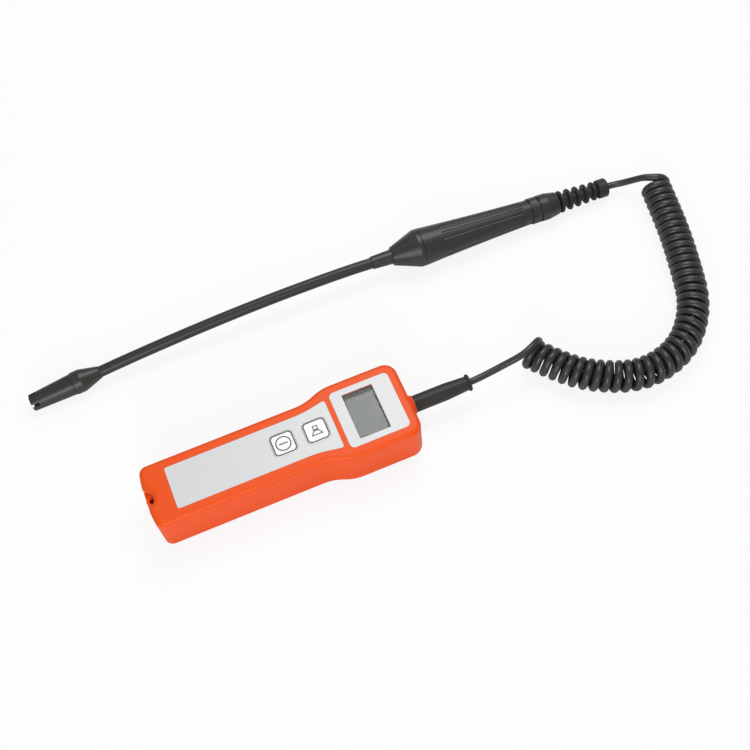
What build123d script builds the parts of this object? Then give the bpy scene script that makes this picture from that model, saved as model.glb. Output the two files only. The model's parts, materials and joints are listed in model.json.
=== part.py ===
from build123d import *
import os
from math import asin, cos, degrees, pi, radians, sin, sqrt, tan

# Hand-held gas detector with a gooseneck probe on a curly cord, in millimetres.
# The origin is the middle of the housing's back. +Y runs towards the display and the cord, +Z out
# of the front face. The probe and its cord lie beside the housing on the same floor, at z = 0.

# Housing
body_length = 162.8
body_height = 32.0
split_height = 12.0
grip_half = 20.2
head_half = 25.4
neck_length = 24.0
neck_head_gap = 39.9
foot_bow = 2.0
foot_corner_radius = 5.0
head_corner_radius = 8.0
front_edge_radius = 3.0
back_edge_radius = 4.0
wall = 2.4
front_wall = 2.8
lip_thickness = 1.1
lip_height = 1.4
lip_gap = 0.1

# Lanyard recess at the foot
recess_radius = 6.0
recess_centre_drop = 1.0
recess_depth = 6.5
recess_corner_radius = 2.5
lanyard_hole_radius = 1.7
lanyard_hole_inset = 3.2
lanyard_column_wall = 1.7

# Films, window and display
film_thickness = 0.5
film_gap = 0.1
keypad_foot_gap = 16.0
keypad_half_foot = 13.6
keypad_half_middle = 15.2
keypad_half_head = 16.4
keypad_flare_length = 21.5
keypad_settle_length = 6.6
keypad_corner_radius = 1.4
display_film_width = 38.2
display_film_height = 37.2
display_film_gap = 3.3
display_head_gap = 5.9
display_film_radius = 3.0
window_width = 30.6
window_height = 19.2
window_radius = 0.8
window_drop = 2.0
window_thickness = 1.2
window_ledge = 1.4
window_gap = 0.1
display_depth = 4.0
display_margin = 2.6
display_bevel = 0.4

# Keys
key_size = 14.6
key_radius = 2.9
key_gap = 0.2
key_stand = 0.3
key_edge_round = 0.4
key_travel = 0.45
key_flange = 1.2
key_flange_thickness = 0.9
key_flange_gap = 0.1
key_stem_radius = 1.6
key_stem_gap = 0.05
key_head_gap = 11.3
key_pitch = 20.3

# Board and what it carries
board_thickness = 1.6
board_depth = 8.0
board_inset = 1.0
board_foot_gap = 12.4
board_head_gap = 9.4
switch_size = 6.0
switch_radius = 0.5
switch_body = 3.0
switch_plunger = 0.4
buzzer_radius = 6.0
buzzer_height = 4.5
buzzer_round = 0.5
buzzer_mouth_radius = 1.0
buzzer_mouth_depth = 1.5
buzzer_head_gap = 35.4
connector_head_gap = 14.4
connector_width = 9.0
connector_depth = 5.0
connector_height = 5.5
connector_radius = 0.4

# Screws
housing_post_radius = 3.0
housing_post_inset = 6.3
foot_post_x = 14.5
foot_post_inset = 5.9
housing_screw_radius = 1.2
housing_screw_head = 2.3
housing_screw_head_height = 1.8
housing_screw_sink = 2.2
housing_screw_length = 17.0
board_post_radius = 2.2
board_screw_radius = 0.95
board_screw_head = 1.9
board_screw_head_height = 1.3
board_screw_length = 4.8
board_post_head_x = 14.0
board_post_foot_x = 13.0
board_post_foot_inset = 4.0
board_post_gap = 0.5
thread_gap = 0.02
shank_gap = 0.3
drive_width = 0.6
drive_length = 2.6
drive_depth = 1.0
head_gap = 0.15

# Battery bay in the back
cell_radius = 7.15
cell_length = 50.5
cell_nub_radius = 2.75
cell_nub_length = 1.2
cell_spacing = 14.5
cell_gap = 0.4
cell_round = 0.5
bay_foot_gap = 10.9
contact_space = 1.75
contact_thickness = 0.35
contact_width = 7.0
contact_half_height = 4.5
contact_bend_radius = 0.5
contact_return = 0.6
contact_return_height = 3.6
bay_wall = 1.4
cover_thickness = 1.8
cover_margin = 1.0
cover_head_margin = 6.0
cover_foot_margin = 2.0
cover_gap = 0.15
cover_radius = 2.0
cover_edge_round = 0.3
ledge_thickness = 1.6
tab_width = 5.0
tab_reach = 1.7
tab_thickness = 1.2
tab_side_gap = 0.5
tab_foot_gap = 0.2
tab_under_gap = 0.1
tab_head_room = 0.4
tab_pocket_radius = 0.5
cover_screw_radius = 1.2
cover_screw_head = 2.2
cover_screw_length = 6.5
cover_screw_gap = 0.05
cover_post_radius = 2.4

# Cable sleeve at the head end
cable_height = 16.0
boss_root_radius = 6.8
boss_length = 3.2
boss_taper = 20.0
boss_root_fillet = 1.2
sleeve_radius = 5.2
sleeve_end_radius = 4.35
sleeve_length = 39.6
sleeve_straight = 24.0
sleeve_rim_radius = 5.3
sleeve_rim_length = 1.7
sleeve_flange_radius = 6.3
sleeve_flange_length = 2.0
sleeve_gap = 0.05
sleeve_rim_round = 0.5

# Probe handle, measured along its axis from the seam between grip and nose cone
ring_x = -104.2
ring_y = 133.6
ring_radius = 12.3
handle_yaw = 1.8
floor_gap = 0.05
seam_band = 2.6
seam_bevel = 0.35
nose_length = 19.8
nose_end_radius = 6.0
handle_wall = 2.0
grip_length = 75.2
grip_middle_radius = 9.85
grip_end_radius = 8.05
flute_count = 18
flute_radius = 1.5
flute_depth = 0.55
flute_start = 14.0
flute_end = 70.0
groove_radius = 7.6
groove_length = 1.3
collar_radius = 8.6
collar_length = 5.2
collar_tab_width = 3.2
collar_tab_rise = 0.35
cap_nut_radius = 8.7
cap_nut_end_radius = 7.3
cap_nut_length = 13.0
cap_nut_straight = 5.5
cap_nut_round = 0.4
nut_gap = 0.05
collet_radius = 6.2
collet_length = 8.0
collet_slot = 1.0
collet_slot_share = 0.6

# Bend protector
protector_length = 35.5
protector_root_radius = 4.7
protector_end_radius = 3.5
fin_count = 5
fin_pitch = 5.8
fin_thickness = 2.7
fin_first = 2.6
fin_root_radius = 7.2
fin_end_radius = 6.1
end_collar_radius = 6.2
end_collar_length = 6.6
protector_spigot_length = 6.0
fin_round = 0.7

# Gooseneck
ferrule_length = 13.7
ferrule_radius = 4.8
ferrule_end_radius = 4.2
neck_radius = 3.55
neck_bore = 1.6
neck_joints = 6
ball_radius = 3.2
socket_gap = 0.15
socket_rim = 1.0
ball_neck = 0.4
neck_insert = 6.0
neck_seat_gap = 0.02

# Sensor head, measured along its axis from the end of the gooseneck
head_x = -104.9
head_y = -84.7
head_yaw = -2.4
head_dip = 3.4
boot_root_radius = 3.9
boot_cone_length = 12.2
boot_length = 17.9
boot_radius = 7.3
boot_wall = 1.5
boot_round = 0.8
tip_cap_length = 28.0
tip_root_radius = 6.85
tip_end_radius = 5.45
tip_bore_radius = 4.3
tip_slot_width = 2.2
tip_slot_depth = 5.0
tip_slot_turn = 32.0
tip_spigot = 3.0
tip_round = 0.6
spigot_gap = 0.03
socket_side_gap = 0.05
sensor_radius = 4.2
sensor_length = 11.0
sensor_recess = 8.5
sensor_round = 0.4
filter_thickness = 1.5
socket_length = 5.0

# Cord
cord_radius = 2.3
coil_radius = 10.0
coil_height = 10.1
coil_route = [
    (-8.5, 162.5), (12.2, 177.6), (25.7, 194.4), (35.4, 217.1), (32.7, 240.4), (22.0, 258.2),
    (2.6, 272.7), (-21.6, 279.9), (-46.4, 286.3), (-69.4, 290.4), (-88.4, 293.5),
]
unit_tail_route = [
    (-0.5, 142.5, 16.4), (-1.6, 151.5, 17.4), (-4.0, 159.5, 18.2), (-7.8, 166.0, 17.4),
]
unit_tail_start = 11.0
probe_tail_route = [(-97.0, 282.5, 8.2), (-93.2, 288.4, 11.2), (-86.5, 292.8, 14.0)]
probe_tail_start = 10.5

# Heights, ends and places that follow from these sizes
foot_y = -body_length / 2
head_end_y = body_length / 2
neck_high = head_end_y - neck_head_gap
neck_low = neck_high - neck_length
cavity_top = body_height - front_wall
recess_floor = body_height - recess_depth
recess_y = foot_y - recess_centre_drop
lanyard_y = foot_y + lanyard_hole_inset
keypad_foot = foot_y + keypad_foot_gap
display_film_y = head_end_y - display_head_gap - display_film_height / 2
keypad_head = display_film_y - display_film_height / 2 - display_film_gap
keypad_flare_start = keypad_head - keypad_flare_length
keypad_flare_middle = keypad_head - keypad_settle_length
window_y = display_film_y - window_drop
film_floor = body_height - film_thickness
tone_key_y = keypad_head - key_head_gap
power_key_y = tone_key_y - key_pitch
key_places = [power_key_y, tone_key_y]
board_low = power_key_y - board_foot_gap
board_high = head_end_y - board_head_gap
buzzer_y = head_end_y - buzzer_head_gap
connector_y = head_end_y - connector_head_gap
display_half = window_height / 2 + display_margin
board_post_head_y = window_y + display_half + board_post_gap + board_post_radius
board_post_foot_y = board_low + board_post_foot_inset
board_post_places = [
    (board_post_head_x, board_post_head_y), (-board_post_head_x, board_post_head_y),
    (board_post_foot_x, board_post_foot_y), (-board_post_foot_x, board_post_foot_y),
]
board_top = body_height - board_depth
board_bottom = board_top - board_thickness
flange_top = cavity_top - key_flange_gap
stem_bottom = board_top + switch_body + switch_plunger + key_travel + key_stem_gap
bay_foot = foot_y + bay_foot_gap
cell_x = cell_spacing / 2
cell_z = cover_thickness + cell_gap + cell_radius
bay_half = cell_x + cell_radius + cell_gap
bay_length = cell_length + 2 * contact_space
bay_head = bay_foot + bay_length
bay_top = cell_z + cell_radius + cell_gap
cover_half = bay_half + cover_margin
cover_foot = bay_foot - cover_foot_margin
cover_head = bay_head + cover_head_margin
cover_length = cover_head - cover_foot
cover_y = (cover_head + cover_foot) / 2
bay_y = (bay_foot + bay_head) / 2
tab_foot = bay_foot + tab_foot_gap
ledge_top = cover_thickness + ledge_thickness
cover_screw_y = bay_head + cover_head_margin / 2
head_post_x = head_half - housing_post_inset
head_post_y = head_end_y - housing_post_inset
foot_post_y = foot_y + foot_post_inset
post_places = [
    (head_post_x, head_post_y), (-head_post_x, head_post_y),
    (foot_post_x, foot_post_y), (-foot_post_x, foot_post_y),
]
screw_head_top = housing_screw_sink + housing_screw_head_height
screw_tip = screw_head_top + housing_screw_length
collar_start = grip_length + groove_length
collar_end = collar_start + collar_length
nut_start = collar_end + groove_length
nut_end = nut_start + cap_nut_length
protector_end = nut_end + protector_length
ring_height = ring_radius + floor_gap
handle_dip = degrees(asin((ring_radius - cap_nut_radius) / (nut_start + cap_nut_straight)))

os.makedirs("parts", exist_ok=True)


def save(piece, name):
    """Label a finished piece and write its STEP file."""
    piece.part.label = name
    export_step(piece.part, f"parts/{name}.step")


def axis_frame(origin, yaw, dip):
    """Plane whose Z axis points along a turned piece: yaw to the right of +Y, dip below level."""
    level = cos(radians(dip))
    along = Vector(sin(radians(yaw)) * level, cos(radians(yaw)) * level, -sin(radians(dip)))
    return Plane(origin, x_dir=Vector(0, 0, 1).cross(along) * -1, z_dir=along)


def profile_plane(frame):
    """Plane of a half profile: X is the radius and Y the place along the frame's axis."""
    return Plane(frame.origin, x_dir=frame.x_dir, z_dir=frame.y_dir * -1)


def turning_axis(frame):
    return Axis(frame.origin, frame.z_dir)


def half_profile(frame, points):
    """Closed half profile of (radius, station) points in the plane of the frame's axis."""
    with BuildSketch(profile_plane(frame)) as profile:
        with BuildLine():
            Polyline(*points, close=True)
        make_face()
    return profile.sketch


# Outlines of the housing and the films

def housing_outline(level, inset=0.0):
    """Plan outline of the housing at a level, moved inwards by inset."""
    neck_middle = ((grip_half + head_half) / 2, (neck_low + neck_high) / 2)
    foot_line = foot_y + foot_bow
    with BuildSketch(Plane.XY.offset(level)) as outline:
        with BuildLine():
            foot = ThreePointArc((-grip_half, foot_line), (0, foot_y), (grip_half, foot_line))
            grip = Line(foot @ 1, (grip_half, neck_low))
            flare = TangentArc(grip @ 1, neck_middle, tangent=(0, 1))
            settle = TangentArc(flare @ 1, (head_half, neck_high), tangent=flare % 1)
            side = Line(settle @ 1, (head_half, head_end_y))
            mirror([grip, flare, settle, side], about=Plane.YZ)
            Line((head_half, head_end_y), (-head_half, head_end_y))
        make_face()
        fillet(outline.vertices().group_by(Axis.Y)[0], foot_corner_radius)
        fillet(outline.vertices().group_by(Axis.Y)[-1], head_corner_radius)
        if inset:
            offset(amount=-inset)
    return outline.sketch


def keypad_outline(level, growth=0.0):
    """Outline of the long film, which widens with the neck of the housing."""
    with BuildSketch(Plane.XY.offset(level)) as outline:
        with BuildLine():
            side = Line((keypad_half_foot, keypad_foot), (keypad_half_foot, keypad_flare_start))
            flare = TangentArc(side @ 1, (keypad_half_middle, keypad_flare_middle), tangent=(0, 1))
            settle = TangentArc(flare @ 1, (keypad_half_head, keypad_head), tangent=flare % 1)
            mirror([side, flare, settle], about=Plane.YZ)
            Line((-keypad_half_foot, keypad_foot), (keypad_half_foot, keypad_foot))
            Line((-keypad_half_head, keypad_head), (keypad_half_head, keypad_head))
        make_face()
        fillet(outline.vertices().group_by(Axis.Y)[0], keypad_corner_radius)
        fillet(outline.vertices().group_by(Axis.Y)[-1], keypad_corner_radius)
        if growth:
            offset(amount=growth)
    return outline.sketch


def rounded_field(level, centre_y, width, height, radius):
    """Rounded rectangle on the middle line of the front face."""
    with BuildSketch(Plane.XY.offset(level)) as field:
        with Locations((0, centre_y)):
            RectangleRounded(width, height, radius)
    return field.sketch


def round_spots(level, places, radius):
    """Circles at several places of one level."""
    with BuildSketch(Plane.XY.offset(level)) as spots:
        with Locations(*places):
            Circle(radius)
    return spots.sketch


def drive_crosses(level, places):
    """Cross slots for a screwdriver in the lower faces of screws at some places."""
    with BuildSketch(Plane.XY.offset(level)) as crosses:
        with Locations(*places):
            Rectangle(drive_width, drive_length)
            Rectangle(drive_length, drive_width)
    return crosses.sketch


# Outer form of the closed housing, which the seam later divides into two shells
cable_plane = Plane((0, head_end_y, cable_height), x_dir=(1, 0, 0), z_dir=(0, 1, 0))

with BuildPart() as body_form:
    extrude(housing_outline(0), amount=body_height)
    extrude(
        round_spots(recess_floor, [(0, recess_y)], recess_radius),
        amount=recess_depth, mode=Mode.SUBTRACT,
    )
    recess_corners = body_form.edges().filter_by(Axis.Z).group_by(Axis.Y)[0]
    fillet(recess_corners, recess_corner_radius)
    fillet(body_form.faces().sort_by(Axis.Z)[-1].edges(), front_edge_radius)
    fillet(body_form.faces().sort_by(Axis.Z)[0].edges(), back_edge_radius)
    with BuildSketch(cable_plane):
        Circle(boss_root_radius)
    extrude(amount=boss_length, taper=boss_taper)
    boss_root = body_form.edges().filter_by(GeomType.CIRCLE)
    boss_root = boss_root.filter_by_position(Axis.Y, head_end_y - 0.01, head_end_y + 0.01)
    fillet(boss_root.sort_by(SortBy.LENGTH)[-1], boss_root_fillet)

# Hollow inside both shells, which leaves a wall round the lanyard recess
with BuildPart() as cavity_form:
    extrude(housing_outline(wall, wall), amount=cavity_top - wall)
    extrude(
        round_spots(recess_floor - wall, [(0, recess_y)], recess_radius + wall),
        amount=body_height, mode=Mode.SUBTRACT,
    )

# Upper shell: window, key openings, film recesses, screw posts and half of the cable boss
with BuildPart() as front_housing:
    add(body_form.part)
    split(bisect_by=Plane.XY.offset(split_height), keep=Keep.TOP)
    add(cavity_form.part, mode=Mode.SUBTRACT)
    extrude(round_spots(split_height, post_places, housing_post_radius), amount=cavity_top - split_height)
    extrude(round_spots(board_top, board_post_places, board_post_radius), amount=cavity_top - board_top)
    lanyard_column = lanyard_hole_radius + lanyard_column_wall
    extrude(round_spots(split_height, [(0, lanyard_y)], lanyard_column), amount=recess_floor - split_height)
    rebate = housing_outline(split_height, wall - lip_thickness - lip_gap)
    extrude(rebate, amount=lip_height + lip_gap, mode=Mode.SUBTRACT)
    extrude(round_spots(split_height, post_places, housing_post_radius), amount=lip_height + lip_gap)
    extrude(round_spots(split_height, [(0, lanyard_y)], lanyard_column), amount=lip_height + lip_gap)
    extrude(
        round_spots(split_height, [(0, lanyard_y)], lanyard_hole_radius),
        amount=body_height, mode=Mode.SUBTRACT,
    )
    extrude(
        round_spots(split_height, post_places, housing_screw_radius + thread_gap),
        amount=screw_tip + 1 - split_height, mode=Mode.SUBTRACT,
    )
    extrude(
        round_spots(board_top, board_post_places, board_screw_radius + thread_gap),
        amount=cavity_top - board_top, mode=Mode.SUBTRACT,
    )
    extrude(keypad_outline(film_floor, film_gap), amount=film_thickness, mode=Mode.SUBTRACT)
    display_recess = rounded_field(
        film_floor, display_film_y, display_film_width + 2 * film_gap,
        display_film_height + 2 * film_gap, display_film_radius + film_gap,
    )
    extrude(display_recess, amount=film_thickness, mode=Mode.SUBTRACT)
    window_seat = rounded_field(
        film_floor - window_thickness, window_y, window_width + 2 * window_ledge,
        window_height + 2 * window_ledge, window_radius + window_ledge,
    )
    extrude(window_seat, amount=window_thickness, mode=Mode.SUBTRACT)
    window_opening = rounded_field(cavity_top, window_y, window_width, window_height, window_radius)
    extrude(window_opening, amount=front_wall, mode=Mode.SUBTRACT)
    for key_y in key_places:
        key_hole = rounded_field(
            cavity_top, key_y, key_size + 2 * key_gap, key_size + 2 * key_gap, key_radius + key_gap
        )
        extrude(key_hole, amount=front_wall, mode=Mode.SUBTRACT)
    with BuildSketch(cable_plane.offset(-wall)):
        Circle(sleeve_radius + sleeve_gap)
    extrude(amount=wall + boss_length + 1, mode=Mode.SUBTRACT)

save(front_housing, "front_housing")

# Lower shell: lip at the seam, battery tub with its ledge, screw posts and half of the cable boss
with BuildPart() as back_shell:
    add(body_form.part)
    split(bisect_by=Plane.XY.offset(split_height), keep=Keep.BOTTOM)
    add(cavity_form.part, mode=Mode.SUBTRACT)
    with BuildSketch(Plane.XY.offset(split_height)):
        add(housing_outline(0, wall - lip_thickness))
        add(housing_outline(0, wall), mode=Mode.SUBTRACT)
    extrude(amount=lip_height)
    extrude(
        round_spots(split_height, post_places, housing_post_radius + lip_gap),
        amount=lip_height, mode=Mode.SUBTRACT,
    )
    extrude(
        round_spots(split_height, [(0, lanyard_y)], lanyard_column + lip_gap),
        amount=lip_height, mode=Mode.SUBTRACT,
    )
    with BuildSketch(Plane.XY.offset(split_height - wall)):
        add(housing_outline(0, wall - lip_thickness))
        add(housing_outline(0, wall), mode=Mode.SUBTRACT)
    extrude(amount=wall)
    extrude(round_spots(wall / 2, post_places, housing_post_radius), amount=split_height - wall / 2)
    extrude(round_spots(wall / 2, [(0, lanyard_y)], lanyard_column), amount=split_height - wall / 2)
    extrude(round_spots(wall / 2, [(0, cover_screw_y)], cover_post_radius), amount=cover_screw_length + 1)
    with BuildSketch(Plane.XY.offset(wall / 2)):
        with Locations((0, cover_y)):
            Rectangle(2 * (cover_half + bay_wall), cover_length + 2 * bay_wall)
    extrude(amount=ledge_top - wall / 2)
    with BuildSketch(Plane.XY.offset(wall / 2)):
        with Locations((0, bay_y)):
            Rectangle(2 * (bay_half + bay_wall), bay_length + 2 * bay_wall)
    extrude(amount=bay_top + bay_wall - wall / 2)
    cover_opening = rounded_field(
        0, cover_y, 2 * (cover_half + cover_gap), cover_length + 2 * cover_gap, cover_radius + cover_gap
    )
    extrude(cover_opening, amount=cover_thickness, mode=Mode.SUBTRACT)
    with BuildSketch(Plane.XY):
        with Locations((0, bay_y)):
            Rectangle(2 * bay_half, bay_length)
    extrude(amount=bay_top, mode=Mode.SUBTRACT)
    tab_pocket = rounded_field(
        ledge_top, bay_foot - bay_wall / 2, tab_width + 2 * tab_side_gap, 2 * tab_reach + bay_wall,
        tab_pocket_radius,
    )
    extrude(tab_pocket, amount=tab_thickness + tab_head_room, mode=Mode.SUBTRACT)
    extrude(
        round_spots(cover_thickness, [(0, cover_screw_y)], cover_screw_radius + thread_gap),
        amount=cover_screw_length, mode=Mode.SUBTRACT,
    )
    extrude(
        round_spots(0, post_places, housing_screw_head + head_gap),
        amount=screw_head_top, mode=Mode.SUBTRACT,
    )
    extrude(
        round_spots(screw_head_top, post_places, housing_screw_radius + shank_gap),
        amount=split_height, mode=Mode.SUBTRACT,
    )
    extrude(
        round_spots(0, [(0, lanyard_y)], lanyard_hole_radius), amount=body_height, mode=Mode.SUBTRACT
    )
    with BuildSketch(cable_plane.offset(-wall)):
        Circle(sleeve_radius + sleeve_gap)
    extrude(amount=wall + boss_length + 1, mode=Mode.SUBTRACT)

save(back_shell, "back_shell")

# Four screws from the back, with their heads sunk in the lower shell
with BuildPart() as housing_screws:
    extrude(
        round_spots(housing_screw_sink, post_places, housing_screw_head),
        amount=housing_screw_head_height,
    )
    extrude(
        round_spots(screw_head_top, post_places, housing_screw_radius), amount=housing_screw_length
    )
    extrude(
        drive_crosses(housing_screw_sink, post_places), amount=drive_depth, mode=Mode.SUBTRACT
    )

save(housing_screws, "housing_screws")

# Battery cover with its hooked tab at the foot and a countersink for one screw
with BuildPart() as battery_cover:
    extrude(
        rounded_field(0, cover_y, 2 * cover_half, cover_length, cover_radius), amount=cover_thickness
    )
    fillet(battery_cover.faces().sort_by(Axis.Z)[0].edges(), cover_edge_round)
    with BuildSketch(Plane.YZ.offset(-tab_width / 2)):
        with BuildLine():
            Polyline(
                (tab_foot, cover_thickness), (tab_foot, ledge_top + tab_under_gap),
                (tab_foot - tab_reach, ledge_top + tab_under_gap),
                (tab_foot - tab_reach, ledge_top + tab_thickness),
                (tab_foot + tab_thickness, ledge_top + tab_thickness),
                (tab_foot + tab_thickness, cover_thickness),
                close=True,
            )
        make_face()
    extrude(amount=tab_width)
    with Locations(Plane((0, cover_screw_y, 0), z_dir=(0, 0, -1))):
        CounterSinkHole(cover_screw_radius + shank_gap, cover_screw_head, depth=cover_thickness + 1)

save(battery_cover, "battery_cover")

with BuildPart() as cover_screw:
    with Locations((0, cover_screw_y, 0)):
        screw_rim = cover_screw_head - cover_screw_gap
        Cone(
            screw_rim, cover_screw_radius, screw_rim - cover_screw_radius,
            align=(Align.CENTER, Align.CENTER, Align.MIN),
        )
        Cylinder(
            cover_screw_radius, cover_screw_length, align=(Align.CENTER, Align.CENTER, Align.MIN)
        )
    extrude(
        drive_crosses(0, [(0, cover_screw_y)]), amount=drive_depth, mode=Mode.SUBTRACT
    )

save(cover_screw, "cover_screw")

# Two cells side by side, head to tail
with BuildPart() as battery_cells:
    for side, direction in ((-1, 1), (1, -1)):
        flat_end = bay_foot + contact_space if direction > 0 else bay_head - contact_space
        cell_plane = Plane((side * cell_x, flat_end, cell_z), x_dir=(1, 0, 0), z_dir=(0, direction, 0))
        with BuildSketch(cell_plane):
            Circle(cell_radius)
        extrude(amount=cell_length - cell_nub_length)
        with BuildSketch(cell_plane.offset(cell_length - cell_nub_length)):
            Circle(cell_nub_radius)
        extrude(amount=cell_nub_length)
    fillet(battery_cells.edges().filter_by(GeomType.CIRCLE).group_by(SortBy.LENGTH)[-1], cell_round)

save(battery_cells, "battery_cells")

# Bent spring strips between the cells and the ends of the bay
with BuildPart() as battery_contacts:
    for end_y, direction in ((bay_foot, 1), (bay_head, -1)):
        for side in (-1, 1):
            with BuildSketch(Plane.YZ.offset(side * cell_x - contact_width / 2)):
                with BuildLine() as strip:
                    foot_of_strip = end_y + direction * contact_thickness / 2
                    bow = end_y + direction * (contact_space - contact_thickness)
                    FilletPolyline(
                        (foot_of_strip, cell_z - contact_half_height),
                        (foot_of_strip, cell_z + contact_half_height),
                        (bow, cell_z),
                        (foot_of_strip + direction * contact_return, cell_z - contact_return_height),
                        radius=contact_bend_radius,
                    )
                trace(line_width=contact_thickness)
            extrude(amount=contact_width)

save(battery_contacts, "battery_contacts")

# Films on the front face
with BuildPart() as display_film:
    display_field = rounded_field(
        film_floor, display_film_y, display_film_width, display_film_height, display_film_radius
    )
    extrude(display_field, amount=film_thickness)
    extrude(
        rounded_field(film_floor, window_y, window_width, window_height, window_radius),
        amount=film_thickness, mode=Mode.SUBTRACT,
    )

save(display_film, "display_film")

with BuildPart() as keypad_film:
    extrude(keypad_outline(film_floor), amount=film_thickness)
    for key_y in key_places:
        key_hole = rounded_field(
            film_floor, key_y, key_size + 2 * key_gap, key_size + 2 * key_gap, key_radius + key_gap
        )
        extrude(key_hole, amount=film_thickness, mode=Mode.SUBTRACT)

save(keypad_film, "keypad_film")

# Clear window in its seat under the display film
with BuildPart() as display_window:
    pane_margin = 2 * (window_ledge - window_gap)
    pane = rounded_field(
        film_floor - window_thickness, window_y, window_width + pane_margin,
        window_height + pane_margin, window_radius + window_ledge - window_gap,
    )
    extrude(pane, amount=window_thickness)

save(display_window, "display_window")


# Keys: a cap in its opening, a flange that keeps it in, and a stem over its switch

def make_key(key_y):
    with BuildPart() as key:
        extrude(
            rounded_field(flange_top, key_y, key_size, key_size, key_radius),
            amount=body_height + key_stand - flange_top,
        )
        fillet(key.faces().sort_by(Axis.Z)[-1].edges(), key_edge_round)
        flange_size = key_size + 2 * key_flange
        extrude(
            rounded_field(flange_top, key_y, flange_size, flange_size, key_radius + key_flange),
            amount=-key_flange_thickness,
        )
        extrude(
            round_spots(stem_bottom, [(0, key_y)], key_stem_radius),
            amount=flange_top - stem_bottom,
        )
    return key


for key_y, key_name in zip(key_places, ("power_key", "tone_key")):
    save(make_key(key_y), key_name)

# Board and the pieces on it
with BuildPart() as main_board:
    with BuildSketch(Plane.XY.offset(board_bottom)):
        add(housing_outline(0, wall + board_inset))
        with Locations((0, (board_low + board_high) / 2)):
            Rectangle(2 * head_half, board_high - board_low, mode=Mode.INTERSECT)
    extrude(amount=board_thickness)
    extrude(
        round_spots(board_bottom, board_post_places, board_screw_radius + shank_gap / 3),
        amount=board_thickness, mode=Mode.SUBTRACT,
    )

save(main_board, "main_board")

with BuildPart() as lcd_module:
    lcd_width = window_width + 2 * display_margin
    extrude(
        rounded_field(board_top, window_y, lcd_width, 2 * display_half, window_radius),
        amount=board_depth - display_depth,
    )
    chamfer(lcd_module.faces().sort_by(Axis.Z)[-1].edges(), display_bevel)

save(lcd_module, "lcd_module")

with BuildPart() as key_switches:
    for key_y in key_places:
        extrude(
            rounded_field(board_top, key_y, switch_size, switch_size, switch_radius),
            amount=switch_body,
        )
        extrude(
            round_spots(board_top + switch_body, [(0, key_y)], key_stem_radius), amount=switch_plunger
        )

save(key_switches, "key_switches")

with BuildPart() as buzzer:
    extrude(round_spots(board_bottom, [(0, buzzer_y)], buzzer_radius), amount=-buzzer_height)
    fillet(buzzer.faces().sort_by(Axis.Z)[0].edges(), buzzer_round)
    extrude(
        round_spots(board_bottom - buzzer_height, [(0, buzzer_y)], buzzer_mouth_radius),
        amount=buzzer_mouth_depth, mode=Mode.SUBTRACT,
    )

save(buzzer, "buzzer")

with BuildPart() as lead_connector:
    extrude(
        rounded_field(board_bottom, connector_y, connector_width, connector_depth, connector_radius),
        amount=-connector_height,
    )

save(lead_connector, "lead_connector")

with BuildPart() as board_screws:
    extrude(round_spots(board_bottom, board_post_places, board_screw_head), amount=-board_screw_head_height)
    extrude(round_spots(board_bottom, board_post_places, board_screw_radius), amount=board_screw_length)

save(board_screws, "board_screws")

# Sleeve moulded round the cord, held in the end wall by a flange
sleeve_frame = axis_frame((0, head_end_y, cable_height), 0, 0)

with BuildPart() as cable_sleeve:
    flange_station = -wall - sleeve_gap
    sleeve_points = [
        (0, flange_station - sleeve_flange_length),
        (sleeve_flange_radius, flange_station - sleeve_flange_length),
        (sleeve_flange_radius, flange_station),
        (sleeve_radius, flange_station),
        (sleeve_radius, sleeve_straight),
        (sleeve_end_radius, sleeve_length - sleeve_rim_length),
        (sleeve_rim_radius, sleeve_length - sleeve_rim_length),
        (sleeve_rim_radius, sleeve_length),
        (0, sleeve_length),
    ]
    revolve(half_profile(sleeve_frame, sleeve_points), axis=turning_axis(sleeve_frame))
    rim_edges = cable_sleeve.edges().filter_by(GeomType.CIRCLE).group_by(Axis.Y)
    inner_rim = rim_edges[-2].filter_by(lambda edge: edge.radius > sleeve_end_radius + sleeve_gap)
    fillet(rim_edges[-1] + inner_rim, sleeve_rim_round)

save(cable_sleeve, "cable_sleeve")

# Probe handle
handle_frame = axis_frame((ring_x, ring_y, ring_height), handle_yaw, handle_dip)
handle_axis = turning_axis(handle_frame)

with BuildPart() as nose_cone:
    cone_points = [
        (0, -nose_length), (nose_end_radius, -nose_length), (ring_radius, -seam_band),
        (ring_radius, -seam_bevel), (ring_radius - seam_bevel, 0), (ring_radius - handle_wall, 0),
        (ring_radius - handle_wall, -seam_band),
        (nose_end_radius - handle_wall, -nose_length + handle_wall), (0, -nose_length + handle_wall),
    ]
    revolve(half_profile(handle_frame, cone_points), axis=handle_axis)
    with BuildSketch(handle_frame.offset(-nose_length)):
        Circle(neck_radius + neck_seat_gap)
    extrude(amount=handle_wall, mode=Mode.SUBTRACT)

save(nose_cone, "nose_cone")

# A straight rod along the grip's slope, which cuts one of its flutes
grip_slope = (ring_radius - grip_end_radius) / grip_length
flute_stand = flute_radius - flute_depth
flute_low = Vector(ring_radius - grip_slope * flute_start + flute_stand, 0, flute_start)
flute_high = Vector(ring_radius - grip_slope * flute_end + flute_stand, 0, flute_end)
flute_run = flute_high - flute_low
flute_rod = Plane(flute_low, z_dir=flute_run) * Cylinder(
    flute_radius, flute_run.length, align=(Align.CENTER, Align.CENTER, Align.MIN)
)

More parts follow.
